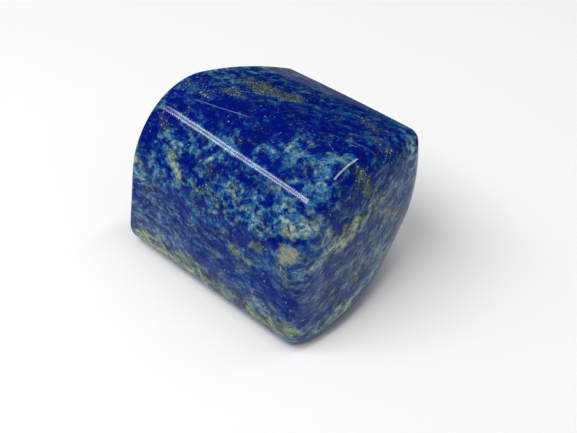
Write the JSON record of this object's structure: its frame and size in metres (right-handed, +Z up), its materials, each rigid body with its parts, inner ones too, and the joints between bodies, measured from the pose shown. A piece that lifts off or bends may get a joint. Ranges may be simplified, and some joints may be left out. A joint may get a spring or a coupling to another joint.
{
  "type": "polished lapis lazuli stone",
  "caption": "Palm-sized freeform block of lapis lazuli with a rolled barrel front, a domed end and a flat foot, ground and hand-polished to a glassy surface.",
  "frame": {"origin": "middle of the stone's plan, at the level of its flat foot", "axes": "+Z up from the foot, +X along the length towards the domed near end, -Y out of the rolled barrel front"},
  "size_m": [0.0644, 0.058, 0.0411],
  "materials": {
    "polished_lapis": "polished"
  },
  "bodies": {
    "root": {"lapis_stone": "polished_lapis"}
  },
  "joints": []
}
